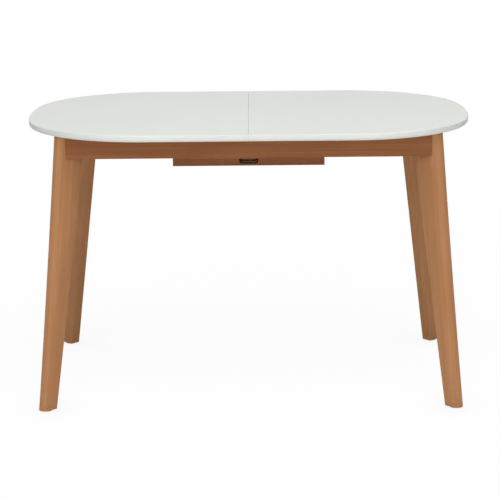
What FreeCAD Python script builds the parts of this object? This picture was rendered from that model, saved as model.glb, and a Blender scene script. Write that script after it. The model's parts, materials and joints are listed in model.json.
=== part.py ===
import FreeCAD, Part
import math
import os

# Extending dining table: oval top in two halves that slide apart over a folded leaf, on four splayed legs.
# Millimetres. X runs along the table, Y from front to back, Z up. The origin is on the floor, mid table.

Vector = FreeCAD.Vector
CORNERS = {"front_left": (-1, -1), "front_right": (1, -1), "rear_left": (-1, 1), "rear_right": (1, 1)}
ENDS = {"left": -1, "right": 1}
SIDES = {"front": -1, "rear": 1}
X_AXIS = Vector(1, 0, 0)
Y_AXIS = Vector(0, 1, 0)
Z_AXIS = Vector(0, 0, 1)

# Overall sizes
table_length = 1200.0
table_width = 800.0
table_height = 750.0
half_travel = 150.0

# Top
top_thickness = 18.0
end_arc_radius = 880.0
corner_arc_radius = 324.0
upper_arris = 3.0
lower_arris = 8.0
seam_gap = 0.2
seam_chamfer = 0.3
seam_dowel_radius = 4.0
seam_dowel_reach = 12.0
seam_dowel_seat = 18.0
seam_dowel_spread = 100.0

# Fixed frame
end_overhang = 98.6
top_clearance = 2.0
apron_depth = 58.9
apron_thickness = 20.0
apron_arris = 1.0
glide_pad_radius = 8.0
glide_pad_gap = 0.3
glide_pad_end_inset = 94.0
glide_pad_seam_gap = 50.0

# Legs
leg_thickness = 32.0
leg_nose_inset = 9.9
leg_nose_flat = 1.0
leg_splay = math.radians(6.42)
leg_depth_top = 91.0
leg_depth_foot = 45.0
leg_hollow = 2.0
leg_inner_arris = 3.0
foot_glide_height = 2.0
foot_glide_radius = 13.0

# Corner blocks and leg bolts
block_thickness = 26.0
block_margin = 6.0
leg_bolt_radius = 4.0
leg_bolt_in_leg = 40.0
leg_bolt_end = 4.0
leg_bolt_spread = 22.0
leg_nut_flats = 13.0
leg_nut_height = 6.5
leg_washer_radius = 10.5
leg_washer_height = 2.0

# Leaf tray
tray_drop = 23.6
tray_board = 18.0
tray_side_room = 30.5
tray_arris = 1.5
floor_thickness = 6.0
floor_raise = 3.0
floor_groove = 6.0
floor_groove_end_gap = 0.5
slot_width = 50.0
slot_height = 15.0
slot_raise = 7.0
rail_packing = 2.3
rail_height = 18.4
rail_notch_depth = 12.8
felt_height = 2.0
felt_width = 30.0
felt_end_gap = 25.0
cross_rail_width = 20.0
cross_rail_depth = 28.0
cross_rail_end_gap = 10.0

# Slides
slide_height = 32.0
slide_wall = 3.0
slide_apron_gap = 1.0
carrier_block_gap = 7.0
runner_neck = 8.5
runner_flange = 3.5
runner_flange_height = 8.6
runner_relief = 1.0
runner_relief_start = 10.0
runner_overlap = 25.0
runner_end_gap = 5.0
runner_screw_inset = 12.0
slide_gap = 0.4

# Rack and pinion
gear_module = 1.5
pinion_teeth = 12
pressure_angle = math.radians(20.0)
addendum_share = 0.7
dedendum_share = 1.0
tooth_backlash = 0.12
rack_back = 3.0
rack_height = 8.0
rack_raise = 2.5
rack_lead = 20.0
axle_radius = 3.0
axle_collar_radius = 5.5
axle_tail_radius = 2.5
axle_clip_radius = 5.0
axle_clip_height = 0.8
axle_clip_groove = 0.6
axle_end = 1.0
thrust_gap = 0.3

# Stored leaf
leaf_gap = 1.0
leaf_hinge_offset = 100.0
leaf_hinge_width = 30.0
leaf_hinge_height = 13.0
leaf_hinge_plate = 1.2
leaf_knuckle_radius = 3.0
leaf_pin_radius = 1.5
leaf_knuckle_gap = 0.3
leaf_knuckle_play = 0.1
leaf_end_gap = 11.6

# Latch
latch_pin_radius = 2.0
latch_hub_radius = 4.5
latch_hub_half_width = 20.0
latch_wall_gap = 0.6
latch_pin_drop = 6.0
latch_plate = 2.5
latch_tab_half_width = 18.0
latch_tab_reach = 30.0
latch_tab_raise = 2.5
latch_tail_gap = 1.2
latch_arm_half_width = 10.0
latch_nose_lead = 5.0
latch_arm_drop = 7.0
latch_nose_half_width = 4.0
latch_nose_rise = 4.0
latch_nose_gap = 2.0
latch_nose_sweep = 6.0
latch_notch_depth = 6.0
latch_ear = 2.0
latch_ear_gap = 0.5
latch_ear_reach = 6.0
latch_plate_drop = 16.0

# Screws and fits
screw_radius = 2.0
screw_head_radius = 4.0
screw_head_height = 2.2
screw_bite = 12.0
fixing_gap = 0.1
glue_gap = 0.05
sliding_gap = 0.25
running_gap = 0.05

# Slide section, measured sideways from the pinion's axis
pitch_radius = gear_module * pinion_teeth / 2
addendum = addendum_share * gear_module
dedendum = dedendum_share * gear_module
rack_face = pitch_radius + dedendum + rack_back
neck_face = rack_face + runner_neck
flange_face = neck_face + runner_flange
wall_face = flange_face + slide_gap
slide_half_width = wall_face + slide_wall

# Levels and faces that follow from the sizes above
# The frame is as wide as the folded leaf and the slides beside it need.
underside = table_height - top_thickness
frame_top = underside - top_clearance
apron_bottom = frame_top - apron_depth
frame_half_length = table_length / 2 - end_overhang
leaf_half_width = half_travel - seam_gap / 2
leaf_half_length = table_width / 4
slide_centre = leaf_half_length + leaf_end_gap + slide_half_width
inner_half_length = frame_half_length - apron_thickness
inner_half_width = slide_centre + slide_half_width + slide_apron_gap
frame_half_width = inner_half_width + apron_thickness
leg_centre = Vector(frame_half_length - leg_nose_inset, frame_half_width - leg_nose_inset, 0)
leg_side_shift = leg_thickness / 2 * math.sqrt(2)
carrier_bottom = underside - slide_height
carrier_floor = carrier_bottom + slide_wall
tray_bottom = apron_bottom - tray_drop
tray_half_length = half_travel + tray_side_room + tray_board
tray_inner_half_length = tray_half_length - tray_board
tray_inner_half_width = inner_half_width - tray_board
rail_top = apron_bottom - rail_packing
rail_bottom = rail_top - rail_height
floor_bottom = tray_bottom + floor_raise
floor_top = floor_bottom + floor_thickness
seam_level = table_height - top_thickness / 2

# Slide levels
flange_bottom = carrier_floor + slide_gap
flange_top = flange_bottom + runner_flange_height
lip_bottom = flange_top + slide_gap
rack_bottom = carrier_floor + rack_raise
rack_top = rack_bottom + rack_height

# Leg edges in the leg's own upright plane, measured outwards from the nose's axis under the top
leg_top_edge = leg_thickness / 2 + top_clearance * math.tan(leg_splay)
leg_foot_edge = leg_thickness / 2 + (underside - foot_glide_height) * math.tan(leg_splay)
leg_inner_top = leg_top_edge - leg_depth_top
leg_inner_foot = leg_foot_edge - leg_depth_foot
block_bottom = apron_bottom + block_margin
block_top = frame_top - block_margin
block_back = leg_inner_top - block_thickness
block_level = (block_bottom + block_top) / 2
leg_bolt_levels = (block_level - leg_bolt_spread / 2, block_level + leg_bolt_spread / 2)
block_reach = leg_centre.x + leg_centre.y + block_back * math.sqrt(2) - inner_half_width
carrier_half_length = block_reach - carrier_block_gap
cross_rail_centre = carrier_half_length - cross_rail_end_gap - cross_rail_width / 2
runner_outer_end = carrier_half_length - runner_end_gap - half_travel
runner_inner_end = half_travel + runner_overlap

# Leaf pack
leaf_lower_bottom = floor_top + felt_height
leaf_fold_level = leaf_lower_bottom + top_thickness + leaf_gap / 2
seam_dowel_offsets = [
    side * leaf_half_length + end * seam_dowel_spread
    for side in (-1, 1)
    for end in (-1, 1)
]

# Latch
latch_pin_line = -tray_inner_half_width + latch_hub_radius + latch_wall_gap
latch_pin_place = Vector(0, latch_pin_line, carrier_bottom - latch_pin_drop)
latch_nose_place = (rack_face + flange_face - latch_plate) / 2 + latch_nose_lead - slide_centre
latch_ear_face = latch_hub_half_width + latch_ear_gap


def box(low, high):
    return Part.makeBox(high[0] - low[0], high[1] - low[1], high[2] - low[2], Vector(*low))


def rod(start, end, radius):
    span = end - start
    return Part.makeCylinder(radius, span.Length, start, span)


def prism(points, sweep):
    outline = Part.makePolygon(points + [points[0]])
    return Part.Face(outline).extrude(sweep)


def mirrored(shape, sx, sy):
    if sx < 0:
        shape = shape.mirror(Vector(), X_AXIS)
    if sy < 0:
        shape = shape.mirror(Vector(), Y_AXIS)
    return shape


def save(name, shape):
    shape.exportStep(os.path.join("parts", name + ".step"))


def countersunk_screw(head, direction, length):
    """A screw whose flat head lies at one point and whose shank runs along the direction."""
    cone = Part.makeCone(screw_head_radius, screw_radius, screw_head_height, head, direction)
    return cone.fuse(Part.makeCylinder(screw_radius, length, head, direction)).removeSplitter()


def countersunk_hole(head, direction, length):
    """The screw's own shape, grown by the fixing gap."""
    wide = screw_head_radius + fixing_gap
    narrow = screw_radius + fixing_gap
    cone = Part.makeCone(wide, narrow, screw_head_height, head, direction)
    return cone.fuse(Part.makeCylinder(narrow, length + fixing_gap, head, direction))


# Oval top

def oval(height):
    """Each quarter is half the straight side, a corner arc and half the end arc."""
    end_centre = table_length / 2 - end_arc_radius
    corner_y = table_width / 2 - corner_arc_radius
    corner_x = end_centre + math.sqrt((end_arc_radius - corner_arc_radius) ** 2 - corner_y ** 2)
    turn = math.atan2(corner_y, corner_x - end_centre)

    def on_end(angle):
        return Vector(end_centre + end_arc_radius * math.cos(angle), end_arc_radius * math.sin(angle), height)

    def on_corner(angle):
        across = corner_y + corner_arc_radius * math.sin(angle)
        return Vector(corner_x + corner_arc_radius * math.cos(angle), across, height)

    side = on_corner(math.pi / 2)
    quarter = [
        Part.LineSegment(Vector(0, side.y, height), side).toShape(),
        Part.Arc(side, on_corner((turn + math.pi / 2) / 2), on_corner(turn)).toShape(),
        Part.Arc(on_end(turn), on_end(turn / 2), on_end(0)).toShape(),
    ]
    edges = [mirrored(edge, sx, sy) for sx, sy in CORNERS.values() for edge in quarter]
    return Part.Face(Part.Wire(Part.__sortEdges__(edges)))


def whole_top():
    slab = oval(underside).extrude(Z_AXIS * top_thickness)
    upper = [edge for edge in slab.Edges if edge.BoundBox.ZMin > table_height - lower_arris]
    slab = slab.makeFillet(upper_arris, upper)
    lower = [edge for edge in slab.Edges if edge.BoundBox.ZMax < underside + upper_arris / 2]
    return slab.makeFillet(lower_arris, lower)


def seam_dowel(offset, start, end, radius):
    return rod(Vector(start, offset, seam_level), Vector(end, offset, seam_level), radius)


def top_half(slab, sx):
    """One half of the oval, with its seam bevel, its dowel holes and its runners' screw holes."""
    face = sx * seam_gap / 2
    reach = sx * table_length
    low = (min(face, reach), -table_width, 0)
    high = (max(face, reach), table_width, table_height + top_thickness)
    half = slab.common(box(low, high))
    bevel = seam_gap / 2 + seam_chamfer
    points = [
        Vector(-bevel, -table_width, table_height),
        Vector(bevel, -table_width, table_height),
        Vector(0, -table_width, table_height - bevel),
    ]
    half = half.cut(prism(points, Y_AXIS * table_width * 2))
    for offset in seam_dowel_offsets:
        if sx < 0:
            end, radius = face - seam_dowel_seat, seam_dowel_radius + glue_gap
        else:
            end, radius = face + seam_dowel_reach + sliding_gap, seam_dowel_radius + sliding_gap
        half = half.cut(seam_dowel(offset, face, end, radius))
    for head in runner_screw_heads(sx):
        top = Vector(head.x, head.y, underside + screw_bite + fixing_gap)
        half = half.cut(rod(Vector(head.x, head.y, underside), top, screw_radius + fixing_gap))
    return half


# Legs and their fixings

def at_corner(shape, sx, sy):
    """Turns a shape from the leg's own plane onto one corner's diagonal."""
    turned = shape.copy()
    turned.rotate(Vector(), Z_AXIS, math.degrees(math.atan2(sy, sx)))
    turned.translate(Vector(sx * leg_centre.x, sy * leg_centre.y, 0))
    return turned


def leg_inner_edge(level):
    share = (level - foot_glide_height) / (frame_top - foot_glide_height)
    return leg_inner_foot + share * (leg_inner_top - leg_inner_foot)


def leg():
    side = -leg_thickness / 2
    outer_top = Vector(leg_top_edge, side, frame_top)
    outer_foot = Vector(leg_foot_edge, side, foot_glide_height)
    inner_top = Vector(leg_inner_top, side, frame_top)
    inner_foot = Vector(leg_inner_foot, side, foot_glide_height)
    waist = (outer_top + outer_foot) * 0.5 - Vector(leg_hollow, 0, 0)
    outline = Part.Wire([
        Part.Arc(outer_foot, waist, outer_top).toShape(),
        Part.LineSegment(outer_top, inner_top).toShape(),
        Part.LineSegment(inner_top, inner_foot).toShape(),
        Part.LineSegment(inner_foot, outer_foot).toShape(),
    ])
    board = Part.Face(outline).extrude(Y_AXIS * leg_thickness)
    nose = [edge for edge in board.Edges if isinstance(edge.Curve, Part.Circle)]
    board = board.makeFillet(leg_thickness / 2 - leg_nose_flat / 2, nose)
    foot_middle = (leg_inner_foot + leg_foot_edge) / 2
    inner = [
        edge for edge in board.Edges
        if edge.BoundBox.ZLength > apron_depth and edge.BoundBox.XMax < foot_middle
        and edge.BoundBox.XMin < leg_inner_top + leg_inner_arris
    ]
    board = board.makeFillet(leg_inner_arris, inner)
    for level in leg_bolt_levels:
        board = board.cut(leg_bolt(level, fixing_gap))
    return board


def leg_bolt(level, grow):
    deep = leg_inner_edge(level) + leg_bolt_in_leg + grow
    end = block_back - leg_washer_height - leg_nut_height - leg_bolt_end
    return rod(Vector(end, 0, level), Vector(deep, 0, level), leg_bolt_radius + grow)


def leg_washer(level):
    seat = Vector(block_back, 0, level)
    outer = rod(seat - X_AXIS * leg_washer_height, seat, leg_washer_radius)
    return outer.cut(leg_bolt(level, fixing_gap))


def leg_nut(level):
    seat = block_back - leg_washer_height
    corner = leg_nut_flats / math.sqrt(3)
    points = []
    for step in range(6):
        angle = step * math.pi / 3
        points.append(Vector(seat, corner * math.cos(angle), level + corner * math.sin(angle)))
    return prism(points, X_AXIS * -leg_nut_height).cut(leg_bolt(level, fixing_gap))


def corner_block(sx, sy):
    """A block across the corner, shaped to the leg's inner edge and to both aprons."""
    wide = table_width
    points = [
        Vector(leg_inner_edge(block_bottom), -wide, block_bottom),
        Vector(leg_inner_edge(block_top), -wide, block_top),
        Vector(block_back, -wide, block_top),
        Vector(block_back, -wide, block_bottom),
    ]
    block = prism(points, Y_AXIS * 2 * wide)
    for level in leg_bolt_levels:
        block = block.cut(leg_bolt(level, fixing_gap))
    room = box((0, 0, 0), (inner_half_length, inner_half_width, table_height))
    return at_corner(block, sx, sy).common(mirrored(room, sx, sy))


def foot_glide():
    middle = (leg_inner_foot + leg_foot_edge) / 2
    return rod(Vector(middle, 0, 0), Vector(middle, 0, foot_glide_height), foot_glide_radius)


# Aprons and glide pads

def apron(half_length, half_width, centre_along, centre_across):
    """A board along X behind the front face, mitred to the legs' sides, with its lower edges rounded."""
    inner = half_width - apron_thickness
    long_outer = centre_along + half_width - centre_across - leg_side_shift
    long_inner = long_outer - apron_thickness
    points = [
        Vector(-long_outer, half_width, apron_bottom),
        Vector(long_outer, half_width, apron_bottom),
        Vector(long_inner, inner, apron_bottom),
        Vector(-long_inner, inner, apron_bottom),
    ]
    board = prism(points, Z_AXIS * apron_depth)
    lower = [
        edge for edge in board.Edges
        if edge.BoundBox.ZMax < apron_bottom + apron_arris and edge.BoundBox.XLength > half_length
    ]
    return board.makeFillet(apron_arris, lower)


def long_apron(sy):
    board = apron(frame_half_length, frame_half_width, leg_centre.x, leg_centre.y)
    for head in tray_screw_heads(1):
        board = board.cut(countersunk_hole(head, Y_AXIS, tray_board + screw_bite))
    return mirrored(board, 1, sy)


def short_apron(sx):
    board = apron(frame_half_width, frame_half_length, leg_centre.y, leg_centre.x)
    board.rotate(Vector(), Z_AXIS, -90)
    return mirrored(board, sx, 1)


def glide_pads():
    """Pads on the aprons' upper edges, clear of the seam even when the top is drawn out."""
    height = top_clearance - glide_pad_gap
    long_line = frame_half_width - apron_thickness / 2
    short_line = frame_half_length - apron_thickness / 2
    places = [
        Vector(half_travel + glide_pad_seam_gap, long_line, frame_top),
        Vector(frame_half_length - glide_pad_end_inset, long_line, frame_top),
        Vector(short_line, frame_half_width - glide_pad_end_inset, frame_top),
    ]
    pads = [rod(place, place + Z_AXIS * height, glide_pad_radius) for place in places]
    return Part.makeCompound([mirrored(pad, sx, sy) for pad in pads for sx, sy in CORNERS.values()])


# Leaf tray

def tray_floor_cut():
    """The floor panel's groove: its own thickness plus a gap above, a little longer than the panel."""
    reach_x = tray_inner_half_length + floor_groove
    reach_y = tray_inner_half_width + floor_groove
    return box((-reach_x, -reach_y, floor_bottom), (reach_x, reach_y, floor_top + sliding_gap))


def tray_floor():
    reach_x = tray_inner_half_length + floor_groove - floor_groove_end_gap
    reach_y = tray_inner_half_width + floor_groove - floor_groove_end_gap
    return box((-reach_x, -reach_y, floor_bottom), (reach_x, reach_y, floor_top))


def tray_screw_heads(sy):
    level = (apron_bottom + carrier_bottom) / 2
    offset = tray_inner_half_length - tray_board
    return [Vector(sx * offset, sy * tray_inner_half_width, level) for sx in (-1, 1)]


def tray_screws():
    screws = []
    for sy in (-1, 1):
        for head in tray_screw_heads(sy):
            screws.append(countersunk_screw(head, Y_AXIS * sy, tray_board + screw_bite))
    return Part.makeCompound(screws)


def slot_bar(bottom, height):
    """A bar with round ends, as wide as the finger slot, through the front of the frame."""
    radius = height / 2
    level = bottom + radius
    straight = slot_width / 2 - radius
    near = -frame_half_width
    bar = box((-straight, near, bottom), (straight, 0, bottom + height))
    for sx in (-1, 1):
        bar = bar.fuse(rod(Vector(sx * straight, near, level), Vector(sx * straight, 0, level), radius))
    return bar


def tray_long_board(sy):
    board = box((-tray_half_length, tray_inner_half_width, tray_bottom),
                (tray_half_length, inner_half_width, carrier_bottom))
    lower = [
        edge for edge in board.Edges
        if edge.BoundBox.ZMax < tray_bottom + tray_arris
        and edge.BoundBox.YMin > inner_half_width - tray_arris
    ]
    board = board.makeFillet(tray_arris, lower).cut(tray_floor_cut())
    for head in tray_screw_heads(1):
        board = board.cut(countersunk_hole(head, Y_AXIS, tray_board + screw_bite))
    board = mirrored(board, 1, sy)
    if sy < 0:
        board = board.cut(slot_bar(tray_bottom + slot_raise, slot_height))
    return board


def tray_rail(sy):
    """A rail under the apron, flush with its face; the front one has a finger notch in its upper edge."""
    rail = box((-tray_half_length, inner_half_width, rail_bottom),
               (tray_half_length, frame_half_width, rail_top))
    lower = [
        edge for edge in rail.Edges
        if edge.BoundBox.ZMax < rail_bottom + tray_arris
        and edge.BoundBox.YMin > frame_half_width - tray_arris
    ]
    rail = mirrored(rail.makeFillet(tray_arris, lower), 1, sy)
    if sy < 0:
        half = slot_width / 2
        mouth = box((-half, -frame_half_width, rail_top - rail_notch_depth / 2),
                    (half, -inner_half_width, rail_top))
        rail = rail.cut(slot_bar(rail_top - rail_notch_depth, rail_notch_depth).fuse(mouth))
    return rail


def packing_strips():
    """Strips that fill the gap between each long apron and the rail under it."""
    strip = box((-tray_half_length, inner_half_width, rail_top),
                (tray_half_length, frame_half_width, apron_bottom))
    return Part.makeCompound([mirrored(strip, 1, sy) for sy in SIDES.values()])


def tray_side(sx):
    board = box((tray_inner_half_length, -tray_inner_half_width, tray_bottom),
                (tray_half_length, tray_inner_half_width, carrier_bottom))
    board = board.cut(tray_floor_cut())
    for sy in (-1, 1):
        for place in carrier_screw_places(sy):
            board = board.cut(carrier_screw_hole(place))
    return mirrored(board, sx, 1)


def cross_rail(sx):
    near = cross_rail_centre - cross_rail_width / 2
    far = cross_rail_centre + cross_rail_width / 2
    rail = box((near, -inner_half_width, carrier_bottom - cross_rail_depth),
               (far, inner_half_width, carrier_bottom))
    for sy in (-1, 1):
        for place in carrier_screw_places(sy):
            rail = rail.cut(carrier_screw_hole(place))
    return mirrored(rail, sx, 1)


def felt_strips():
    strips = []
    for sx in (-1, 1):
        near = sx * (leaf_half_width - felt_end_gap - felt_width)
        far = sx * (leaf_half_width - felt_end_gap)
        low = (min(near, far), felt_end_gap - leaf_half_length, floor_top)
        high = (max(near, far), leaf_half_length - felt_end_gap, floor_top + felt_height)
        strips.append(box(low, high))
    return Part.makeCompound(strips)


# Slides: a channel fixed to the frame, and in it a runner under each half of the top

def carrier_screw_places(sy):
    """Screws stand on the channel's middle line, over the tray's sides and the cross rails."""
    tray_line = tray_half_length - tray_board / 2
    return [
        Vector(sx * along, sy * slide_centre, carrier_floor)
        for sx in (-1, 1)
        for along in (tray_line, cross_rail_centre)
    ]


def carrier_screw_hole(place):
    return countersunk_hole(place, -Z_AXIS, slide_wall + screw_bite)


def carrier_screws():
    screws = []
    for sy in (-1, 1):
        for place in carrier_screw_places(sy):
            screws.append(countersunk_screw(place, -Z_AXIS, slide_wall + screw_bite))
    return Part.makeCompound(screws)


def channel_section(line):
    """A channel with its two walls turned in over the runners' flanges."""
    half = [
        (slide_half_width, carrier_bottom),
        (slide_half_width, lip_bottom + slide_wall),
        (neck_face + slide_gap, lip_bottom + slide_wall),
        (neck_face + slide_gap, lip_bottom),
        (wall_face, lip_bottom),
        (wall_face, carrier_floor),
    ]
    points = half + [(-across, level) for across, level in reversed(half)]
    return [Vector(-carrier_half_length, line + across, level) for across, level in points]


def carrier(sy):
    line = sy * slide_centre
    channel = prism(channel_section(line), X_AXIS * 2 * carrier_half_length)
    for place in carrier_screw_places(sy):
        channel = channel.cut(carrier_screw_hole(place))
    foot = Vector(0, line, carrier_bottom)
    channel = channel.cut(rod(foot, foot + Z_AXIS * slide_wall, axle_tail_radius + glue_gap))
    if sy < 0:
        channel = channel.cut(latch_window(carrier_bottom, carrier_floor))
    return channel


def runner_screw_heads(sx):
    heads = []
    first = runner_relief_start + runner_screw_inset
    last = runner_outer_end - runner_screw_inset
    for sy in (-1, 1):
        across = sy * slide_centre + sx * (rack_face + neck_face) / 2
        for along in (first, (first + last) / 2, last):
            heads.append(Vector(sx * along, across, flange_bottom))
    return heads


def runner(sx, sy):
    """The left half's runner lies in front of each pinion and the right half's behind it."""
    line = sy * slide_centre
    section = [
        (rack_face, flange_bottom),
        (flange_face, flange_bottom),
        (flange_face, flange_top),
        (neck_face, flange_top),
        (neck_face, underside),
        (rack_face, underside),
    ]
    start = -sx * runner_inner_end
    points = [Vector(start, line + sx * across, level) for across, level in section]
    bar = prism(points, X_AXIS * sx * (runner_outer_end + runner_inner_end))
    relief_end = sx * runner_relief_start
    low = (min(start, relief_end), line - slide_half_width, underside - runner_relief)
    high = (max(start, relief_end), line + slide_half_width, underside + runner_relief)
    bar = bar.cut(box(low, high))
    for head in runner_screw_heads(sx):
        bar = bar.cut(countersunk_hole(head, Z_AXIS, slide_height + screw_bite))
    if sx > 0 and sy < 0:
        notch = latch_window(flange_bottom, flange_bottom + latch_notch_depth)
        bar = bar.cut(notch)
        notch.translate(X_AXIS * -half_travel)
        bar = bar.cut(notch)
    return bar


def runner_screws(sx):
    length = underside - flange_bottom + screw_bite
    return Part.makeCompound([countersunk_screw(head, Z_AXIS, length) for head in runner_screw_heads(sx)])


# Rack and pinion

def rack(sx, sy):
    """A toothed strip on the runner's inner side, with a gap between teeth at the pinion's axis."""
    line = sy * slide_centre
    pitch = math.pi * gear_module
    lean = math.tan(pressure_angle)
    tip_half = pitch / 4 - tooth_backlash - addendum * lean
    root_half = pitch / 4 - tooth_backlash + dedendum * lean
    first = -math.floor(rack_lead / pitch) + 0.5
    last = math.floor((half_travel + rack_lead) / pitch) - 0.5
    tip = pitch_radius - addendum
    root = pitch_radius + dedendum
    margin = pitch / 2
    points = [(first * pitch - margin, rack_face), (first * pitch - margin, root)]
    for step in range(int(last - first) + 1):
        middle = (first + step) * pitch
        points.append((middle - root_half, root))
        points.append((middle - tip_half, tip))
        points.append((middle + tip_half, tip))
        points.append((middle + root_half, root))
    points += [(last * pitch + margin, root), (last * pitch + margin, rack_face)]
    outline = [Vector(-sx * along, line + sx * across, rack_bottom) for along, across in points]
    return prism(outline, Z_AXIS * rack_height)


def pinion(sy):
    """Involute teeth: each flank is an arc through three involute points, straight below the base circle."""
    base = pitch_radius * math.cos(pressure_angle)
    tip = pitch_radius + addendum
    root = pitch_radius - dedendum
    half_tooth = math.pi / 2 / pinion_teeth - tooth_backlash / pitch_radius

    def involute(angle):
        return math.tan(angle) - angle

    def polar(radius, angle):
        centre = Vector(0, sy * slide_centre, rack_bottom)
        return centre + Vector(radius * math.cos(angle), radius * math.sin(angle), 0)

    def flank(radius):
        return half_tooth + involute(pressure_angle) - involute(math.acos(min(1, base / radius)))

    edges = []
    step = 2 * math.pi / pinion_teeth
    middle = (base + tip) / 2
    for tooth in range(pinion_teeth):
        at = tooth * step
        rise = [polar(radius, at - flank(radius)) for radius in (base, middle, tip)]
        fall = [polar(radius, at + flank(radius)) for radius in (tip, middle, base)]
        foot_in = polar(root, at - flank(base))
        foot_out = polar(root, at + flank(base))
        next_foot = polar(root, at + step - flank(base))
        edges += [
            Part.LineSegment(foot_in, rise[0]).toShape(),
            Part.Arc(*rise).toShape(),
            Part.Arc(rise[2], polar(tip, at), fall[0]).toShape(),
            Part.Arc(*fall).toShape(),
            Part.LineSegment(fall[2], foot_out).toShape(),
            Part.Arc(foot_out, polar(root, at + step / 2), next_foot).toShape(),
        ]
    gear = Part.Face(Part.Wire(edges)).extrude(Z_AXIS * rack_height)
    low = Vector(0, sy * slide_centre, rack_bottom)
    return gear.cut(rod(low, low + Z_AXIS * rack_height, axle_radius + running_gap))


def axle_clip_bottom():
    return rack_top + thrust_gap


def pinion_axle(sy):
    """A stud riveted into the channel, with a collar below the pinion and a groove for its clip above."""
    clip_bottom = axle_clip_bottom()
    clip_top = clip_bottom + axle_clip_height
    profile = [
        (0, carrier_bottom),
        (axle_tail_radius, carrier_bottom),
        (axle_tail_radius, carrier_floor),
        (axle_collar_radius, carrier_floor),
        (axle_collar_radius, rack_bottom - thrust_gap),
        (axle_radius, rack_bottom - thrust_gap),
        (axle_radius, clip_bottom),
        (axle_radius - axle_clip_groove, clip_bottom),
        (axle_radius - axle_clip_groove, clip_top),
        (axle_radius, clip_top),
        (axle_radius, clip_top + axle_end),
        (0, clip_top + axle_end),
    ]
    points = [Vector(radius, sy * slide_centre, level) for radius, level in profile]
    outline = Part.Face(Part.makePolygon(points + [points[0]]))
    return outline.revolve(points[0], Z_AXIS, 360)


def axle_clip(sy):
    low = Vector(0, sy * slide_centre, axle_clip_bottom())
    high = low + Z_AXIS * axle_clip_height
    return rod(low, high, axle_clip_radius).cut(rod(low, high, axle_radius - axle_clip_groove + glue_gap))


# Folded leaf

def leaf_half():
    """The lower half, face up: rounded at its free end like the top, square at the hinge end."""
    low = (-leaf_half_width, -leaf_half_length, leaf_lower_bottom)
    high = (leaf_half_width, leaf_half_length, leaf_lower_bottom + top_thickness)
    board = box(low, high)

    def free_edges(shape):
        return [
            edge for edge in shape.Edges
            if edge.BoundBox.XLength > leaf_half_width
            and edge.BoundBox.YMax < upper_arris / 2 - leaf_half_length
        ]

    upper = [edge for edge in free_edges(board) if edge.BoundBox.ZMin > leaf_lower_bottom + lower_arris]
    board = board.makeFillet(upper_arris, upper)
    lower = [edge for edge in free_edges(board) if edge.BoundBox.ZMax < leaf_lower_bottom + upper_arris]
    board = board.makeFillet(lower_arris, lower)
    for sx in (-1, 1):
        board = board.cut(leaf_hinge_recess(sx))
        for sy in (-1, 1):
            board = board.cut(leaf_dowel(sx, sy, seam_dowel_radius + (glue_gap if sx > 0 else sliding_gap)))
    return board


def leaf_dowel(sx, sy, radius):
    """A dowel stands out of the right edge; the left edge has the hole for the next board's dowel."""
    level = leaf_lower_bottom + top_thickness / 2
    if sx > 0:
        start, end = leaf_half_width - seam_dowel_seat, leaf_half_width + seam_dowel_reach
    else:
        start, end = -leaf_half_width, -leaf_half_width + seam_dowel_reach + sliding_gap
    across = sy * seam_dowel_spread
    return rod(Vector(start, across, level), Vector(end, across, level), radius)


def leaf_hinge_recess(sx):
    """A shallow bed for the hinge plate, and a round bed for the knuckles on the fold line."""
    middle = sx * leaf_hinge_offset
    reach = leaf_hinge_width / 2 + leaf_knuckle_gap
    bottom = leaf_fold_level - leaf_hinge_height - leaf_knuckle_gap
    bed = box((middle - reach, leaf_half_length - leaf_hinge_plate, bottom),
              (middle + reach, leaf_half_length + leaf_hinge_plate, leaf_fold_level))
    start = Vector(middle - reach, leaf_half_length, leaf_fold_level)
    return bed.fuse(rod(start, start + X_AXIS * 2 * reach, leaf_knuckle_radius + leaf_knuckle_gap))


def hinge_plate(sx, own, others):
    """A plate on the lower half's end, with knuckles on its own spans and room round the other plate's."""
    middle = sx * leaf_hinge_offset
    reach = leaf_hinge_width / 2
    plate = box((middle - reach, leaf_half_length - leaf_hinge_plate, leaf_fold_level - leaf_hinge_height),
                (middle + reach, leaf_half_length, leaf_fold_level - leaf_gap / 2))

    def span(limits, radius, grow):
        start = Vector(middle + limits[0] * reach - grow, leaf_half_length, leaf_fold_level)
        return rod(start, start + X_AXIS * ((limits[1] - limits[0]) * reach + 2 * grow), radius)

    for limits in others:
        plate = plate.cut(span(limits, leaf_knuckle_radius + leaf_knuckle_gap, leaf_knuckle_gap))
    for limits in own:
        plate = plate.fuse(span(limits, leaf_knuckle_radius, -leaf_knuckle_play))
    bore = Vector(middle - reach, leaf_half_length, leaf_fold_level)
    plate = plate.cut(rod(bore, bore + X_AXIS * 2 * reach, leaf_pin_radius + running_gap))
    return plate.removeSplitter()


def leaf_hinge_pin(sx):
    middle = sx * leaf_hinge_offset
    start = Vector(middle - leaf_hinge_width / 2, leaf_half_length, leaf_fold_level)
    return rod(start, start + X_AXIS * leaf_hinge_width, leaf_pin_radius)


def folded_over(shape):
    """The upper half lies face down on the lower one: a mirror image across the fold."""
    return shape.mirror(Vector(0, 0, leaf_fold_level), Z_AXIS)


# Latch behind the finger slot

def latch_window(bottom, top):
    """Room for the latch's nose, in the channel's floor and in the runner that it stops."""
    half = latch_nose_half_width + latch_nose_gap
    near = latch_nose_place - latch_nose_sweep
    far = latch_nose_place + latch_plate + latch_nose_gap
    return box((-half, near, bottom), (half, far, top))


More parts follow.
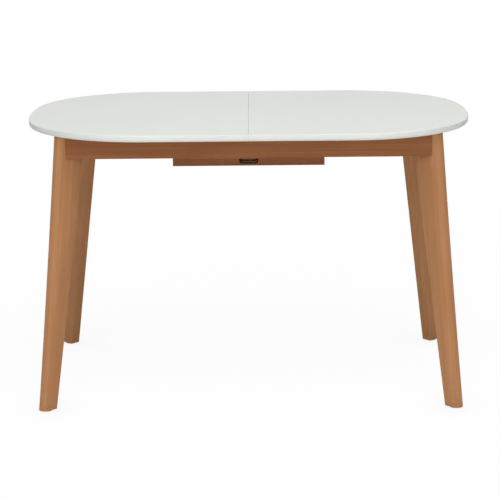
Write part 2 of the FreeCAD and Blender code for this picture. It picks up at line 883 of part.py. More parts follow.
def latch_lever():
    """A hub on the pin, a tail behind the slot with a finger tab, and an arm inwards to the nose."""
    pin = latch_pin_place
    hub_half = X_AXIS * latch_hub_half_width
    slot_middle = tray_bottom + slot_raise + slot_height / 2
    tab_level = slot_middle + latch_tab_raise
    tail_face = pin.y - latch_plate / 2
    arm_level = pin.z - latch_arm_drop - latch_plate
    tail = box((-latch_tab_half_width, tail_face, floor_top + latch_tail_gap),
               (latch_tab_half_width, tail_face + latch_plate, pin.z))
    tab = box((-latch_tab_half_width, tail_face - latch_tab_reach, tab_level),
              (latch_tab_half_width, tail_face, tab_level + latch_plate))
    arm = box((-latch_arm_half_width, pin.y, arm_level),
              (latch_arm_half_width, latch_nose_place + latch_plate, arm_level + latch_plate))
    nose = box((-latch_nose_half_width, latch_nose_place, arm_level),
               (latch_nose_half_width, latch_nose_place + latch_plate, pin.z + latch_nose_rise))
    lever = rod(pin - hub_half, pin + hub_half, latch_hub_radius).fuse([tail, tab, arm, nose])
    return lever.cut(rod(pin - hub_half, pin + hub_half, latch_pin_radius + running_gap)).removeSplitter()


def latch_bracket():
    """A plate on the front board with an ear at each end of the lever's hub."""
    pin = latch_pin_place
    face = -tray_inner_half_width
    outer = latch_ear_face + latch_ear
    top = pin.z + latch_hub_radius
    bore = rod(pin - X_AXIS * outer, pin + X_AXIS * outer, latch_pin_radius + glue_gap)
    ears = []
    for sx in (-1, 1):
        ear = box((latch_ear_face, face, pin.z - latch_plate_drop), (outer, pin.y + latch_ear_reach, top))
        foot = box((latch_ear_face, face, pin.z - latch_plate_drop),
                   (outer + latch_plate_drop, face + latch_ear, top))
        ears.append(mirrored(ear.fuse(foot).removeSplitter(), sx, 1).cut(bore))
    return Part.makeCompound(ears)


def latch_pin():
    outer = latch_ear_face + latch_ear
    return rod(latch_pin_place - X_AXIS * outer, latch_pin_place + X_AXIS * outer, latch_pin_radius)


def build():
    os.makedirs("parts", exist_ok=True)
    slab = whole_top()
    one_leg = leg()
    for name, (sx, sy) in CORNERS.items():
        save("leg_" + name, at_corner(one_leg, sx, sy))
        save("corner_block_" + name, corner_block(sx, sy))

    def at_corners(make):
        return Part.makeCompound([at_corner(make(level), *corner)
                                  for corner in CORNERS.values() for level in leg_bolt_levels])

    feet = [at_corner(foot_glide(), sx, sy) for sx, sy in CORNERS.values()]
    save("foot_glides", Part.makeCompound(feet))
    save("leg_bolts", at_corners(lambda level: leg_bolt(level, 0)))
    save("leg_washers", at_corners(leg_washer))
    save("leg_nuts", at_corners(leg_nut))
    save("top_glide_pads", glide_pads())
    save("tray_floor", tray_floor())
    save("tray_screws", tray_screws())
    save("apron_packing_strips", packing_strips())
    save("carrier_screws", carrier_screws())
    save("leaf_felt_strips", felt_strips())
    for name, sy in SIDES.items():
        save("apron_" + name, long_apron(sy))
        save("tray_" + name + "_board", tray_long_board(sy))
        save("tray_rail_" + name, tray_rail(sy))
        save("carrier_" + name, carrier(sy))
        save("pinion_" + name, pinion(sy))
    save("pinion_axles", Part.makeCompound([pinion_axle(sy) for sy in SIDES.values()]))
    save("axle_clips", Part.makeCompound([axle_clip(sy) for sy in SIDES.values()]))
    for name, sx in ENDS.items():
        save("apron_" + name, short_apron(sx))
        save("tray_side_" + name, tray_side(sx))
        save("cross_rail_" + name, cross_rail(sx))
        save("top_" + name, top_half(slab, sx))
        save("runner_screws_" + name, runner_screws(sx))
        for side, sy in SIDES.items():
            save("runner_" + name + "_" + side, runner(sx, sy))
            save("rack_" + name + "_" + side, rack(sx, sy))
    face = -seam_gap / 2
    dowels = [seam_dowel(offset, face - seam_dowel_seat, face + seam_dowel_reach, seam_dowel_radius)
              for offset in seam_dowel_offsets]
    save("seam_dowels", Part.makeCompound(dowels))

    half = leaf_half()
    leaf_dowels = Part.makeCompound([leaf_dowel(1, sy, seam_dowel_radius) for sy in SIDES.values()])
    thirds = [(-1, -1 / 3), (-1 / 3, 1 / 3), (1 / 3, 1)]
    outer_plates = Part.makeCompound([hinge_plate(sx, thirds[::2], thirds[1:2]) for sx in ENDS.values()])
    middle_plates = Part.makeCompound([hinge_plate(sx, thirds[1:2], thirds[::2]) for sx in ENDS.values()])
    save("leaf_lower_half", half)
    save("leaf_upper_half", folded_over(half))
    save("leaf_dowels_lower", leaf_dowels)
    save("leaf_dowels_upper", folded_over(leaf_dowels))
    save("leaf_hinge_plates_lower", outer_plates)
    save("leaf_hinge_plates_upper", folded_over(middle_plates))
    save("leaf_hinge_pins", Part.makeCompound([leaf_hinge_pin(sx) for sx in ENDS.values()]))
    save("latch_lever", latch_lever())
    save("latch_bracket", latch_bracket())
    save("latch_pin", latch_pin())


build()
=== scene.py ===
"""Looks of an extending dining table: an oval white top in two halves on splayed beech legs.

Lengths are in metres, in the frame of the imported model, unless a name ends in _mm or _px.
"""
import json
import math

import bmesh
import bpy
from mathutils import Matrix, Vector


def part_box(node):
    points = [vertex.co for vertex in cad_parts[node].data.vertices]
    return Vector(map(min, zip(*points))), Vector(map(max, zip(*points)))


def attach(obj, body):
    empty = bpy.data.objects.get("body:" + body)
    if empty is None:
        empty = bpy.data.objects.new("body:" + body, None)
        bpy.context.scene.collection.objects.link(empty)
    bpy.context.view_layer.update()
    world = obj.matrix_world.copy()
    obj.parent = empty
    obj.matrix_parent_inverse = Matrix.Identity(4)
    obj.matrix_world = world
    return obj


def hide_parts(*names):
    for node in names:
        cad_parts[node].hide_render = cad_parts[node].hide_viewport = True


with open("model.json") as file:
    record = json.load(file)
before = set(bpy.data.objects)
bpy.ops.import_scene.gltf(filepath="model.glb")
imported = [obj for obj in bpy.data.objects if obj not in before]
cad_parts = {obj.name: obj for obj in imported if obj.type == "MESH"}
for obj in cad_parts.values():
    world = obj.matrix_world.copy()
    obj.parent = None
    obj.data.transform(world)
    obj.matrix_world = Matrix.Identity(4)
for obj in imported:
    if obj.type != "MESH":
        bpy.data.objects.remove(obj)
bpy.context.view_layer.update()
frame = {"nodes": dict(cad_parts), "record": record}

MM_PER_M = 1000
ALONG = Vector((1, 0, 0))
ACROSS = Vector((0, 1, 0))
UP = Vector((0, 0, 1))

# Camera, as found from the photograph's perspective
IMAGE_PX = 500
FOCAL_PX = 1855.9
SENSOR_MM = 36.0
CAMERA_PLACE = Vector((0.0102, -5.0751, 1.5192))
CAMERA_YAW = 0.00188
CAMERA_PITCH = -0.22505
CAMERA_ROLL = -0.00941
CAMERA_REACH = 100

# Studio floor and room
FLOOR_HALF = 30.0
FLOOR_DROP = 0.0002
FLOOR_PAPER = "#FAFAF8"
FLOOR_WHITE = "#FFFFFF"
FLOOR_GLOW_NEAR = 0.955
FLOOR_FADE_START = 1.0
FLOOR_FADE_END = 2.6
# Painted shadow on the floor near the feet, from ambient occlusion: how far it reaches, and how dark the
# white glow gets under it
FLOOR_PAINTED_SHADOW_REACH = 0.12
FLOOR_PAINTED_SHADOW_LEVEL = 0.85
AMBIENT = 0.16

# Lamps: place, width and height, power in watts, and whether glossy surfaces mirror them
LAMP_AIM = Vector((0, 0, 0.6))
SOFT_BOXES = {
    "high_soft_box": ((0.35, -2.6, 6.2), (4.0, 2.6), 230, True),
    "front_soft_box": ((-0.1, -6.0, 3.9), (5.2, 2.6), 101, True),
    "low_soft_box": ((-0.9, -6.4, 1.5), (5.2, 1.6), 48, True),
    "back_soft_box": ((0, 6.0, 3.4), (4.0, 2.6), 110, False),
}

# Finishes: the values between which most of a noise lies, how finely noises and eased arrises are drawn,
# and the digits to which two ways of the figure count as one
NOISE_LOW = 0.3
NOISE_HIGH = 0.7
NOISE_DETAIL = 2.0
ARRIS_SAMPLES = 4
SAME_WAY_DIGITS = 3

# Sockets of a Mix node for colours, by number because their names repeat
MIX_SHARE, MIX_UNDER, MIX_OVER = 0, 6, 7

# Legs, whose outlines come from the frame
LEG_STATIONS = 24
LEG_NOSE_SEGMENTS = 12
LEG_NOSE_FLAT = 0.001
LEG_HOLLOW = 0.002
LEG_INNER_ARRIS = 0.003
LEG_INNER_SEGMENTS = 3
LEG_FOOT_ARRIS = 0.0012
LEG_FOOT_SEGMENTS = 2

# Fluted dowels
FLUTES = 14
FLUTE_DEPTH = 0.0004
DOWEL_CHAMFER = 0.0012

# Countersunk screws with a cross recess, in shares of the head's radius
SCREW_SIDES = 24
SCREW_RIM_SHARE = 0.9
SCREW_HEAD_DEPTH_SHARE = 0.55
SCREW_SHANK_SHARE = 0.5
SCREW_POINT_SHARE = 2
CROSS_REACH_SHARE = 0.55
CROSS_HALF_WIDTH_SHARE = 0.14
CROSS_DEPTH_SHARE = 0.45

# How far the recess narrows to its bottom, and the shank to its tip
CROSS_TAPER = 0.7
SCREW_POINT_TAPER = 0.1

# Distance within which points of a mesh count as one, or as lying on one plane
FLUSH = 0.00001
SMOOTH_ANGLE = math.radians(35)


# Small helpers

def linear(hex_colour):
    """An sRGB hex colour as linear RGBA."""
    parts = [int(hex_colour[i:i + 2], 16) / 255 for i in (1, 3, 5)]
    return [c / 12.92 if c <= 0.04045 else ((c + 0.055) / 1.055) ** 2.4 for c in parts] + [1.0]


def empty_tree(owner):
    """The node tree of a new material or world, without its default nodes."""
    owner.use_nodes = True
    owner.node_tree.nodes.clear()
    return owner.node_tree


def add_node(tree, kind, inputs=None, **settings):
    """Adds a shader node with its settings.

    An input is a value, a socket, or a node, which stands for its first live output.
    """
    node = tree.nodes.new("ShaderNode" + kind)
    for name, value in settings.items():
        setattr(node, name, value)
    for name, value in (inputs or {}).items():
        if isinstance(value, bpy.types.Node):
            value = next(output for output in value.outputs if output.enabled)
        if isinstance(value, bpy.types.NodeSocket):
            tree.links.new(value, node.inputs[name])
        else:
            node.inputs[name].default_value = value
    return node


def slot_of(node):
    return next(part["material_slot"] for part in frame["record"]["subparts"] if part["node"] == node)


def body_of(node):
    bodies = frame["record"]["behaviour"]["bodies"]
    return next(body for body, nodes in bodies.items() if node in nodes)


# Finishes

def surface(name, along, base, layers, roughness, relief, arris_mm, shader):
    """A finish of one base colour under layers of figure, with eased arrises.

    along is the way the figure runs. A layer is (across_mm, along_mm, low, high, most, colour): noise
    with blotches of that size, whose values from low to high bring in up to that share of the colour.
    roughness is (across_mm, along_mm, least, most), relief is (across_mm, along_mm, depth_mm), arris_mm
    is the radius that edges seem to have, and shader holds the values that are the same all over.
    """
    material = bpy.data.materials.new(name)
    tree = empty_tree(material)
    place = add_node(tree, "TexCoord").outputs["Object"]
    turn = along.rotation_difference(UP).to_euler()
    grain = add_node(tree, "Mapping", {"Vector": place, "Rotation": turn})
    noises = []
    for across_mm, along_mm, *_ in [*layers, roughness, relief]:
        scale = (MM_PER_M / across_mm, MM_PER_M / across_mm, MM_PER_M / along_mm)
        scaled = add_node(tree, "Mapping", {"Vector": grain, "Scale": scale})
        noises.append(add_node(tree, "TexNoise", {"Vector": scaled, "Scale": 1.0, "Detail": NOISE_DETAIL}))
    *figure, dulling, unevenness = noises
    tone = linear(base)
    for noise, (_, _, low, high, most, colour) in zip(figure, layers):
        share = add_node(tree, "MapRange",
                         {"Value": noise, "From Min": low, "From Max": high, "To Max": most},
                         interpolation_type="SMOOTHSTEP")
        tone = add_node(tree, "Mix", {MIX_SHARE: share, MIX_UNDER: tone, MIX_OVER: linear(colour)},
                        data_type="RGBA")
    _, _, least_rough, most_rough = roughness
    dull = add_node(tree, "MapRange", {"Value": dulling, "From Min": NOISE_LOW, "From Max": NOISE_HIGH,
                                       "To Min": least_rough, "To Max": most_rough})
    eased = add_node(tree, "Bevel", {"Radius": arris_mm / MM_PER_M}, samples=ARRIS_SAMPLES)
    _, _, depth_mm = relief
    bump = add_node(tree, "Bump", {"Height": unevenness, "Distance": depth_mm / MM_PER_M, "Normal": eased})
    coated = add_node(tree, "BsdfPrincipled",
                      {"Base Color": tone, "Roughness": dull, "Normal": bump, **shader})
    add_node(tree, "OutputMaterial", {"Surface": coated})
    return material


def white_lacquer(along):
    # Satin lacquer sprayed on fibreboard: even and matt, with slow clouds of tone and a faint orange peel
    layers = [(420, 420, 0.3, 0.7, 1.0, "#E5E7E3"), (24, 24, 0.5, 0.75, 0.3, "#E3E5E1")]
    return surface("sprayed_white_lacquer", along, "#E7E9E5", layers, roughness=(60, 60, 0.56, 0.64),
                   relief=(3, 3, 0.015), arris_mm=1.6, shader={"IOR": 1.48, "Specular IOR Level": 0.22})


def beech(name, along, base, dark, fleck, dullness, specular):
    # Figure of beech: growth bands, slow patches, streaks, and ray flecks that are drawn about twice as
    # wide as the real 0.5 mm, to show
    layers = [(12, 1400, 0.34, 0.68, 0.6, dark), (60, 220, 0.38, 0.68, 0.65, dark),
              (3, 400, 0.42, 0.72, 0.4, dark), (1.0, 7, 0.56, 0.74, 0.4, fleck)]
    return surface(name, along, base, layers, roughness=(3, 400, dullness - 0.05, dullness + 0.05),
                   relief=(0.7, 14, 0.04), arris_mm=1.2, shader={"Specular IOR Level": specular})


def stained_beech(name, along, base, dark, fleck):
    # Stain under a satin lacquer: the figure shows through, softened, and the lacquer gives a low sheen
    return beech(name, along, base, dark, fleck, dullness=0.55, specular=0.2)


def honey_stained_beech(along):
    # Pale beech with a honey-brown stain: the lightest and yellowest of the stained wood, on the legs
    return stained_beech("honey_stained_beech", along, "#BD895E", "#AB774E", "#986440")


def red_stained_beech(along):
    # A shade deeper and warmer than the legs, on the aprons
    return stained_beech("red_stained_beech", along, "#A06741", "#8D5431", "#7B4527")


def deep_stained_beech(along):
    # The deepest brown of the three, on the tray
    return stained_beech("deep_stained_beech", along, "#8C5633", "#784528", "#66371E")


def planed_beech(along):
    # Bare planed beech: pale pink-brown, dry and matt
    return beech("planed_beech", along, "#DDBB93", "#CDA77D", "#B98D60", dullness=0.62, specular=0.3)


def birch_plywood(along):
    # Rotary-cut birch face, sanded: broad pale figure with small darker dashes
    layers = [(60, 300, 0.35, 0.65, 0.8, "#D6B98C"), (14, 160, 0.45, 0.7, 0.5, "#CFAE7F"),
              (1.2, 9, 0.6, 0.72, 0.5, "#B99465")]
    return surface("sanded_birch_plywood", along, "#E2CBA2", layers, roughness=(3, 60, 0.55, 0.68),
                   relief=(0.8, 12, 0.04), arris_mm=0.6, shader={"Specular IOR Level": 0.3})


def birch_dowel(along):
    # Turned birch, pressed with flutes: pale, close-grained, slightly burnished
    layers = [(2.5, 60, 0.4, 0.65, 0.7, "#D5B98D"), (0.8, 6, 0.58, 0.7, 0.5, "#BF9C6C")]
    return surface("turned_birch", along, "#E4CFA8", layers, roughness=(2, 20, 0.45, 0.58),
                   relief=(0.6, 12, 0.04), arris_mm=0.5, shader={"Specular IOR Level": 0.35})


def zinc_steel(along):
    # Bright zinc plate: pale grey metal with a blue and straw cast and a dull bloom in patches
    layers = [(5, 5, 0.4, 0.65, 0.6, "#C3C9D2"), (3, 3, 0.52, 0.7, 0.5, "#D2CDBB"),
              (1.2, 1.2, 0.58, 0.72, 0.4, "#A9ACB0")]
    return surface("bright_zinc_steel", along, "#CFD2D5", layers, roughness=(2.5, 2.5, 0.24, 0.42),
                   relief=(0.6, 0.6, 0.01), arris_mm=0.3, shader={"Metallic": 1.0})


def mill_aluminium(along):
    # Aluminium as it left the die: fine lines along its length, bright and a little greasy in sheen
    layers = [(1.0, 300, 0.4, 0.65, 0.6, "#C9CBCE"), (9, 500, 0.45, 0.7, 0.4, "#BEC1C5"),
              (4, 30, 0.6, 0.75, 0.3, "#B1B3B6")]
    return surface("mill_finish_aluminium", along, "#DCDEE0", layers, roughness=(1.0, 250, 0.28, 0.44),
                   relief=(0.8, 300, 0.02), arris_mm=0.4, shader={"Metallic": 1.0})


def nylon(along):
    # Moulded natural nylon: milky, faintly translucent and waxy, with a fine spark-eroded grain
    layers = [(12, 12, 0.38, 0.66, 0.6, "#E6E2D4"), (2, 2, 0.55, 0.72, 0.35, "#DCD7C6")]
    milky = {"IOR": 1.53, "Subsurface Weight": 0.15, "Subsurface Radius": (0.002, 0.002, 0.0015)}
    return surface("moulded_nylon", along, "#EFECE1", layers, roughness=(3, 3, 0.38, 0.5),
                   relief=(0.8, 0.8, 0.012), arris_mm=0.4, shader=milky)


def wool_felt(along):
    # Pressed wool felt: mottled grey-brown fibres, quite matt, with a soft pale fuzz at the rim
    layers = [(3, 3, 0.4, 0.65, 0.6, "#5C544A"), (0.9, 2.5, 0.52, 0.68, 0.6, "#8A8072"),
              (0.8, 2, 0.6, 0.72, 0.5, "#453F38")]
    return surface("pressed_wool_felt", along, "#6E665A", layers, roughness=(2, 2, 0.88, 0.98),
                   relief=(0.9, 2, 0.25), arris_mm=0.6, shader={"Sheen Weight": 0.4, "Sheen Roughness": 0.5})


def brushed_brass(along):
    # Rolled brass strip, brushed lengthways: warm yellow with fine bright and dull lines
    layers = [(0.8, 40, 0.42, 0.64, 0.7, "#C39A4C"), (6, 30, 0.48, 0.72, 0.5, "#B08843"),
              (2, 4, 0.6, 0.74, 0.3, "#94723A")]
    return surface("brushed_brass", along, "#D9B569", layers, roughness=(0.8, 30, 0.26, 0.42),
                   relief=(0.7, 40, 0.015), arris_mm=0.3, shader={"Metallic": 1.0})


def bronzed_steel(along):
    # Pressed steel, chemically bronzed: dark warm brown, rubbed brighter in small spots
    layers = [(9, 14, 0.42, 0.62, 0.7, "#3A2C22"), (3, 6, 0.55, 0.7, 0.5, "#77604A"),
              (1, 1, 0.6, 0.72, 0.4, "#2E2319")]
    return surface("bronzed_steel", along, "#544233", layers, roughness=(3, 3, 0.3, 0.48),
                   relief=(0.9, 0.9, 0.02), arris_mm=0.4, shader={"Metallic": 1.0})


FINISHES = {"white_lacquer": white_lacquer, "stained_beech": honey_stained_beech,
            "plain_beech": planed_beech, "plywood": birch_plywood, "birch_dowel": birch_dowel,
            "zinc_steel": zinc_steel, "extruded_aluminium": mill_aluminium, "white_nylon": nylon,
            "felt": wool_felt, "hinge_brass": brushed_brass, "bronzed_steel": bronzed_steel}
STAINED_BOARDS = {"apron": red_stained_beech, "tray": deep_stained_beech}
finishes_made = {}


def outward_of(node):
    """The level direction from the table's middle to a node's own corner."""
    low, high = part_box(node)
    middle = (low + high) / 2
    return Vector((math.copysign(1, middle.x), math.copysign(1, middle.y), 0)).normalized()


def is_leg(node):
    return node.split("_")[0] == "leg" and node.split("_")[-1] in ("left", "right")


def figure_direction(node):
    """Along a leg's lean, across a corner for its block, and along the longer side of anything else."""
    low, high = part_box(node)
    if is_leg(node):
        _, foot, top = leg_outline(node)
        return (outward_of(node) * (top[1] - foot[1]) + UP * (high.z - low.z)).normalized()
    if node.startswith("corner_block"):
        return outward_of(node).cross(UP)
    size = high - low
    return ALONG if size.x > size.y else ACROSS


def finish_of(node):
    """The finish of a node's slot, made once for each way that the figure runs."""
    finish = FINISHES[slot_of(node)]
    if finish is honey_stained_beech:
        finish = STAINED_BOARDS.get(node.split("_")[0], finish)
    along = figure_direction(node)
    key = (finish, *(round(c, SAME_WAY_DIGITS) for c in along))
    if key not in finishes_made:
        finishes_made[key] = finish(along)
    return finishes_made[key]


def finish_nodes():
    for node, shown in frame["nodes"].items():
        shown.data.materials.clear()
        shown.data.materials.append(finish_of(node))


# Pieces that replace CAD nodes with finer ones

def stand_in(bm, node):
    """Makes a finished mesh the visible piece for a CAD node: same body, same finish."""
    bmesh.ops.recalc_face_normals(bm, faces=bm.faces)
    mesh = bpy.data.meshes.new(node + "_shape")
    bm.to_mesh(mesh)
    bm.free()
    mesh.polygons.foreach_set("use_smooth", [True] * len(mesh.polygons))
    mesh.set_sharp_from_angle(angle=SMOOTH_ANGLE)
    mesh.materials.append(finish_of(node))
    piece = bpy.data.objects.new(node + "_shape", mesh)
    bpy.context.scene.collection.objects.link(piece)
    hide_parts(node)
    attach(piece, body_of(node))


def leg_outline(node):
    """A leg's two faces across its diagonal, and its inner and outer edges at the foot and at the top."""
    outward = outward_of(node)
    sideways = UP.cross(outward)
    points = [vertex.co for vertex in frame["nodes"][node].data.vertices]
    low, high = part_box(node)
    across = [point.dot(sideways) for point in points]
    edges = []
    for level in (low.z, high.z):
        reach = [point.dot(outward) for point in points if abs(point.z - level) < FLUSH]
        edges.append((min(reach), max(reach)))
    return (min(across), max(across)), edges[0], edges[1]


def rises(edge):
    """Whether an edge's two ends lie at different heights."""
    return abs(edge.verts[0].co.z - edge.verts[1].co.z) > FLUSH


def shape_leg(node):
    """A board with a half-round nose, eased inner arrises and a slight hollow along its outer edge.

    It is built upright and one unit high, and then leaned, tapered and turned to its corner.
    """
    outward = outward_of(node)
    sideways = UP.cross(outward)
    (left, right), foot, top = leg_outline(node)
    low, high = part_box(node)
    half = (right - left) / 2
    depth = foot[1] - foot[0]
    bm = bmesh.new()
    bmesh.ops.create_cube(bm, size=1)
    bmesh.ops.translate(bm, verts=bm.verts, vec=(ALONG + UP) / 2)
    bmesh.ops.scale(bm, verts=bm.verts, vec=(depth, 2 * half, 1))
    upright = [edge for edge in bm.edges if rises(edge)]
    bmesh.ops.subdivide_edges(bm, edges=upright, cuts=LEG_STATIONS - 1, use_grid_fill=True)
    nose = (True, half - LEG_NOSE_FLAT / 2, LEG_NOSE_SEGMENTS)
    inner = (False, LEG_INNER_ARRIS, LEG_INNER_SEGMENTS)
    for outer, offset, segments in (nose, inner):
        corner = [edge for edge in bm.edges if rises(edge)
                  and all((vert.co.x > depth / 2) == outer and abs(abs(vert.co.y) - half) < FLUSH
                          for vert in edge.verts)]
        bmesh.ops.bevel(bm, geom=corner, offset=offset, segments=segments, profile=0.5, affect="EDGES",
                        material=-1)
    for vert in bm.verts:
        share = vert.co.z
        if vert.co.x > depth / 2:
            # The hollow is a parabola, deepest halfway up
            hollow = 4 * share * (1 - share) * LEG_HOLLOW
            vert.co.x += foot[1] + share * (top[1] - foot[1]) - hollow - depth
        else:
            vert.co.x += foot[0] + share * (top[0] - foot[0])
        vert.co.z = low.z + share * (high.z - low.z)
        vert.co.y += (left + right) / 2
    sole = [edge for edge in bm.edges if all(abs(vert.co.z - low.z) < FLUSH for vert in edge.verts)]
    bmesh.ops.bevel(bm, geom=sole, offset=LEG_FOOT_ARRIS, segments=LEG_FOOT_SEGMENTS, profile=0.5,
                    affect="EDGES", material=-1)
    bmesh.ops.transform(bm, verts=bm.verts, matrix=Matrix((outward, sideways, UP)).transposed().to_4x4())
    stand_in(bm, node)


def solids_in(node):
    """The points of each separate solid in a CAD node."""
    bm = bmesh.new()
    bm.from_mesh(frame["nodes"][node].data)
    bmesh.ops.remove_doubles(bm, verts=bm.verts, dist=FLUSH)
    groups = []
    for start in bm.verts:
        if start.tag:
            continue
        start.tag = True
        group = [start]
        for vert in group:
            for edge in vert.link_edges:
                other = edge.other_vert(vert)
                if not other.tag:
                    other.tag = True
                    group.append(other)
        groups.append([vert.co.copy() for vert in group])
    bm.free()
    return groups


def rod_of(points):
    """The start, direction, length and radius of a solid that is turned about its longest side."""
    low = Vector([min(point[i] for point in points) for i in range(3)])
    high = Vector([max(point[i] for point in points) for i in range(3)])
    size = high - low
    longest = max(range(3), key=lambda i: size[i])
    start = (low + high) / 2
    start[longest] = low[longest]
    direction = Vector([float(i == longest) for i in range(3)])
    return start, direction, size[longest], min(size) / 2


def screw_of(points):
    """The same for a screw, starting from its head, where the widest points are."""
    start, direction, length, radius = rod_of(points)
    rim = []
    for point in points:
        rise = (point - start).dot(direction)
        if (point - start - direction * rise).length > radius * SCREW_RIM_SHARE:
            rim.append(rise)
    if sum(rim) / len(rim) > length / 2:
        start, direction = start + direction * length, -direction
    return start, direction, length, radius


def set_on(bm, verts, start, direction):
    """Moves a shape built along +Z from the origin to its place."""
    turn = UP.rotation_difference(direction).to_matrix().to_4x4()
    bmesh.ops.transform(bm, verts=verts, matrix=Matrix.Translation(start) @ turn)


def shift_end(bm, made, rise, scale):
    """Moves the new end of an extrusion along Z and scales it about the Z axis."""
    verts = [part for part in made if isinstance(part, bmesh.types.BMVert)]
    bmesh.ops.translate(bm, verts=verts, vec=(0, 0, rise))
    bmesh.ops.scale(bm, verts=verts, vec=(scale, scale, 1))
    return verts


def grow(bm, face, rise, scale):
    """Extrudes an end face and returns the new one; with its edges, so that no face is left inside."""
    made = bmesh.ops.extrude_face_region(bm, geom=[face, *face.edges])["geom"]
    shift_end(bm, made, rise, scale)
    return next(part for part in made if isinstance(part, bmesh.types.BMFace))


def shape_dowels(node):
    """Dowels with pressed flutes and chamfered ends."""
    bm = bmesh.new()
    for points in solids_in(node):
        start, direction, length, radius = rod_of(points)
        before = set(bm.verts)
        ring = bmesh.ops.create_circle(bm, cap_ends=True, segments=2 * FLUTES, radius=radius)["verts"]
        groove = 1 - FLUTE_DEPTH / radius
        bmesh.ops.scale(bm, verts=ring[::2], vec=(groove, groove, 1))
        taper = 1 - DOWEL_CHAMFER / radius
        bmesh.ops.scale(bm, verts=ring, vec=(taper, taper, 1))
        end = grow(bm, ring[0].link_faces[0], DOWEL_CHAMFER, 1 / taper)
        end = grow(bm, end, length - 2 * DOWEL_CHAMFER, 1)
        grow(bm, end, DOWEL_CHAMFER, taper)
        set_on(bm, [vert for vert in bm.verts if vert not in before], start, direction)
    stand_in(bm, node)


def shape_screws(node):
    """Countersunk screws: a cross recess in a flat head, the cone below it, a shank and a point."""
    bm = bmesh.new()
    for points in solids_in(node):
        start, direction, length, radius = screw_of(points)
        before = set(bm.verts)
        rim = bmesh.ops.create_circle(bm, segments=SCREW_SIDES, radius=radius)["verts"]
        rim_edges = list({edge for vert in rim for edge in vert.link_edges})
        reach, half = radius * CROSS_REACH_SHARE, radius * CROSS_HALF_WIDTH_SHARE
        cross = []
        for quarter in range(4):
            for x, y in ((reach, -half), (reach, half), (half, half)):
                spot = Matrix.Rotation(quarter * math.pi / 2, 3, "Z") @ Vector((x, y, 0))
                cross.append(bm.verts.new(spot))
        recess = bm.faces.new(cross)
        bmesh.ops.bridge_loops(bm, edges=rim_edges + list(recess.edges))
        grow(bm, recess, radius * CROSS_DEPTH_SHARE, CROSS_TAPER)
        ring = rim_edges
        head = radius * SCREW_HEAD_DEPTH_SHARE
        point = radius * SCREW_POINT_SHARE
        shank = length - head - point
        for rise, scale in ((head, SCREW_SHANK_SHARE), (shank, 1), (point, SCREW_POINT_TAPER)):
            made = bmesh.ops.extrude_edge_only(bm, edges=ring)["geom"]
            end = shift_end(bm, made, rise, scale)
            ring = [part for part in made if isinstance(part, bmesh.types.BMEdge)
                    and all(vert in end for vert in part.verts)]
        bmesh.ops.edgeloop_fill(bm, edges=ring)
        set_on(bm, [vert for vert in bm.verts if vert not in before], start, direction)
    stand_in(bm, node)


def shape_pieces():
    for node in list(frame["nodes"]):
        if is_leg(node):
            shape_leg(node)
        elif "dowels" in node:
            shape_dowels(node)
        elif "screws" in node:
            shape_screws(node)


# Studio

def background_rays(tree):
    """A node that is 1 for rays from the camera, in reflections and through glass, and 0 for other light."""
    path = add_node(tree, "LightPath")
    seen = path.outputs["Is Camera Ray"]
    for kind in ("Is Glossy Ray", "Is Transmission Ray"):
        seen = add_node(tree, "Math", {0: seen, 1: path.outputs[kind]}, operation="MAXIMUM")
    return seen


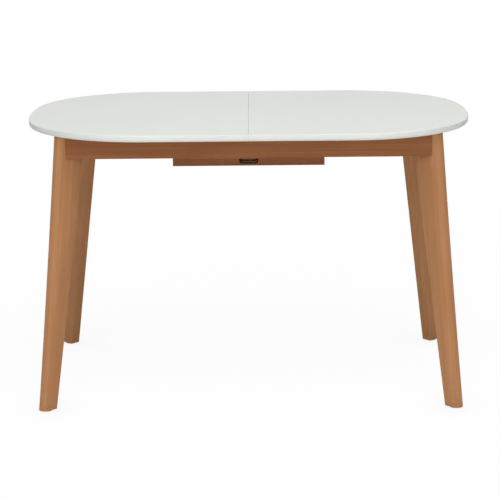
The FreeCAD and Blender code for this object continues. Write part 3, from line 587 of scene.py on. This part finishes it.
def studio_floor():
    """Pale paper that shows white to the camera and in reflections, with a faint real shadow under the table
    and a painted shadow near the feet.
    """
    bpy.ops.mesh.primitive_plane_add(size=2 * FLOOR_HALF, location=(0, 0, -FLOOR_DROP))
    floor = bpy.context.object
    floor.name = "studio_floor"
    material = bpy.data.materials.new("pale_studio_paper")
    tree = empty_tree(material)
    place = add_node(tree, "TexCoord").outputs["Object"]
    distance = add_node(tree, "VectorMath", {0: place}, operation="LENGTH").outputs["Value"]
    glow = add_node(tree, "MapRange",
                    {"Value": distance, "From Min": FLOOR_FADE_START, "From Max": FLOOR_FADE_END,
                     "To Min": FLOOR_GLOW_NEAR, "To Max": 1.0}, interpolation_type="SMOOTHSTEP")
    shaded = add_node(tree, "BsdfDiffuse", {"Color": linear(FLOOR_WHITE)})
    # Ambient occlusion darkens the white glow near the feet: a painted contact shadow
    contact = add_node(tree, "AmbientOcclusion", {"Distance": FLOOR_PAINTED_SHADOW_REACH}).outputs["AO"]
    painted_shadow_glow = add_node(tree, "MapRange", {"Value": contact, "To Min": FLOOR_PAINTED_SHADOW_LEVEL, "To Max": 1.0})
    white = add_node(tree, "Emission", {"Color": linear(FLOOR_WHITE), "Strength": painted_shadow_glow})
    shown = add_node(tree, "MixShader", {0: glow, 1: shaded, 2: white})
    paper = add_node(tree, "BsdfDiffuse", {"Color": linear(FLOOR_PAPER)})
    mixed = add_node(tree, "MixShader", {0: background_rays(tree), 1: paper, 2: shown})
    add_node(tree, "OutputMaterial", {"Surface": mixed})
    floor.data.materials.append(material)


def soft_box(name, place, size, power, mirrored):
    """A rectangular lamp aimed at the table, which shows in glossy surfaces if it is mirrored."""
    light = bpy.data.lights.new(name, "AREA")
    light.shape = "RECTANGLE"
    light.size, light.size_y = size
    light.energy = power
    lamp = bpy.data.objects.new(name, light)
    lamp.location = place
    lamp.rotation_mode = "QUATERNION"
    lamp.rotation_quaternion = (LAMP_AIM - lamp.location).to_track_quat("-Z", "Y")
    lamp.visible_glossy = mirrored
    bpy.context.scene.collection.objects.link(lamp)


def studio_light():
    """A white room with banks of light above, in front and behind, and a weak one low in front."""
    world = bpy.data.worlds.new("white_studio")
    tree = empty_tree(world)
    seen = background_rays(tree)
    strength = add_node(tree, "MapRange", {"Value": seen, "To Min": AMBIENT, "To Max": 1.0})
    sky = add_node(tree, "Background", {"Color": linear(FLOOR_WHITE), "Strength": strength})
    add_node(tree, "OutputWorld", {"Surface": sky})
    bpy.context.scene.world = world
    for name, (place, size, power, mirrored) in SOFT_BOXES.items():
        soft_box(name, place, size, power, mirrored)


def photo_camera():
    camera = bpy.data.cameras.new("photo_camera")
    camera.sensor_width = SENSOR_MM
    camera.lens = SENSOR_MM * FOCAL_PX / IMAGE_PX
    camera.clip_end = CAMERA_REACH
    holder = bpy.data.objects.new("photo_camera", camera)
    yaw = Matrix.Rotation(CAMERA_YAW, 4, "Z")
    pitch = Matrix.Rotation(math.pi / 2 + CAMERA_PITCH, 4, "X")
    roll = Matrix.Rotation(CAMERA_ROLL, 4, "Z")
    holder.matrix_world = Matrix.Translation(CAMERA_PLACE) @ yaw @ pitch @ roll
    bpy.context.scene.collection.objects.link(holder)
    bpy.context.scene.camera = holder


finish_nodes()
shape_pieces()
studio_floor()
studio_light()
photo_camera()
bpy.context.scene.view_settings.view_transform = "Standard"
